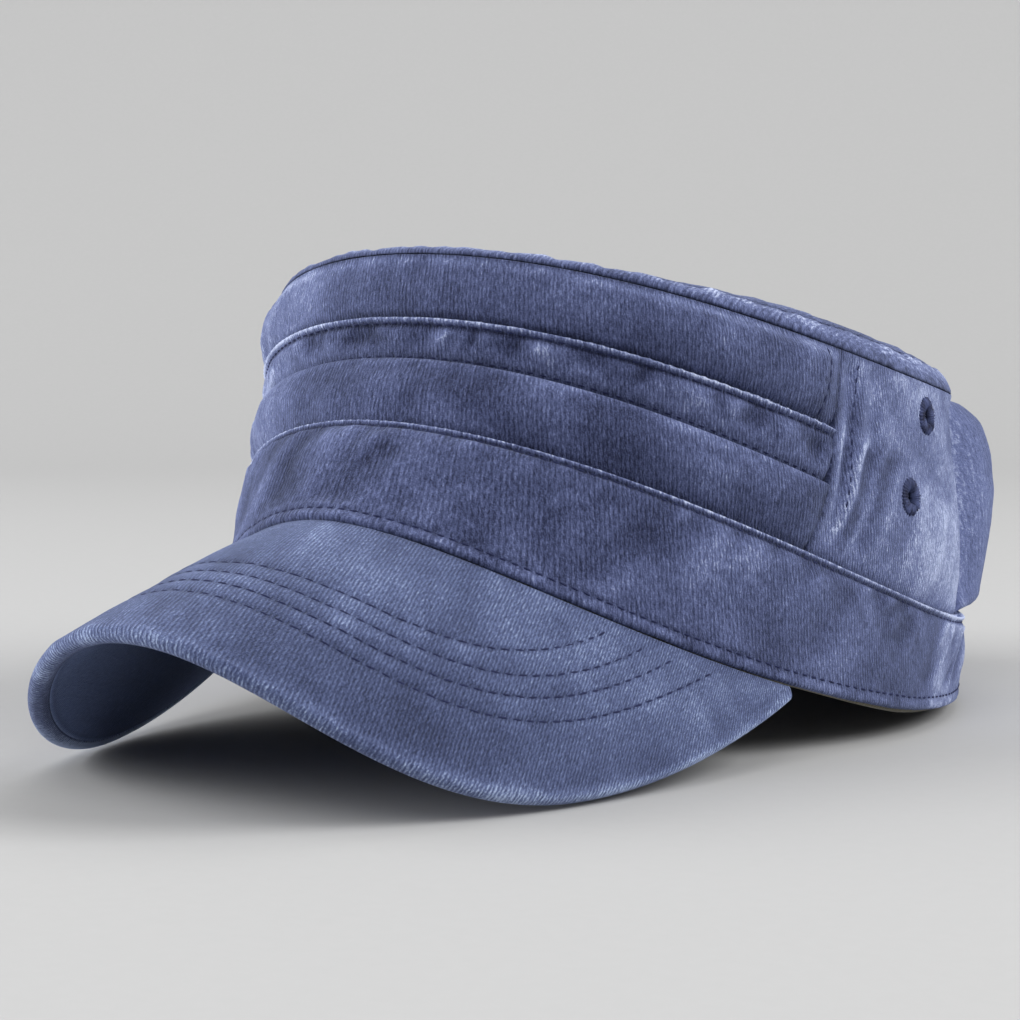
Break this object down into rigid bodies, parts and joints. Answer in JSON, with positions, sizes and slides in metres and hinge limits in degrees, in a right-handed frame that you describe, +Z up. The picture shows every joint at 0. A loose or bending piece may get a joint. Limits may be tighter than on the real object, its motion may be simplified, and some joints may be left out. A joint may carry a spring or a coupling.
{
  "type": "kepi cap",
  "caption": "Kepi cap of washed blue cotton twill: flat oval top, lapped front panels, folded band, curved brim and stitched eyelets, lying at rest",
  "frame": {"origin": "on the table under the middle of the cap's bounding box", "axes": "+Z up from the table, +Y from the brim towards the back of the cap, +X towards the wearer's left"},
  "size_m": [0.1658, 0.2752, 0.109],
  "materials": {
    "washed_cotton": "washed and faded blue cotton twill, matt",
    "navy_under_cloth": "dark navy cotton, matt",
    "olive_tape": "woven olive tape, matt",
    "navy_thread": "dark navy sewing thread, slight sheen"
  },
  "bodies": {
    "root": {"band": "washed_cotton", "front_lower": "washed_cotton", "front_strip": "washed_cotton", "front_upper": "washed_cotton", "side_panel_left": "washed_cotton", "side_panel_right": "washed_cotton", "back_panel": "washed_cotton", "top_panel": "washed_cotton", "brim_cover": "washed_cotton", "brim_under": "navy_under_cloth", "sweatband": "olive_tape", "eyelet_left_upper": "navy_thread", "eyelet_left_lower": "navy_thread", "eyelet_right_upper": "navy_thread", "eyelet_right_lower": "navy_thread"}
  },
  "joints": []
}
